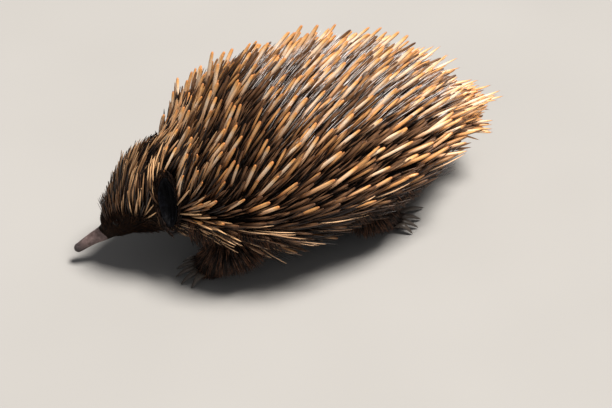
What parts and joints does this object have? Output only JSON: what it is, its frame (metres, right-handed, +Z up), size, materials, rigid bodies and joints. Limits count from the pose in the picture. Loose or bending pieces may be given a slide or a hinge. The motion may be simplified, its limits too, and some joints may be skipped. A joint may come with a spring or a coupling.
{
  "type": "echidna",
  "caption": "Short-beaked echidna walking with lowered beak, long spines over back, flanks and tail, furred face and legs, digging claws, as a still life-size model.",
  "frame": {"origin": "on the floor, under the middle of the whole animal's box", "axes": "the animal faces -X, its left side is -Y, +Z is up"},
  "size_m": [0.5054, 0.253, 0.2179],
  "materials": {
    "hide": "smooth purplish grey-brown skin",
    "fur": "coarse dark brown fur",
    "ear_skin": "dark bluish-grey bare skin",
    "eye": "wet black",
    "spines": "satin horn, cream to orange with darker bases"
  },
  "bodies": {
    "root": {"beak": "hide", "head": "fur", "ear_left": "ear_skin", "ear_right": "ear_skin", "eye_left": "eye", "eye_right": "eye", "torso": "spines", "tail": "spines", "foreleg_left": "fur", "foreleg_right": "fur", "hindleg_left": "fur", "hindleg_right": "fur"}
  },
  "joints": []
}
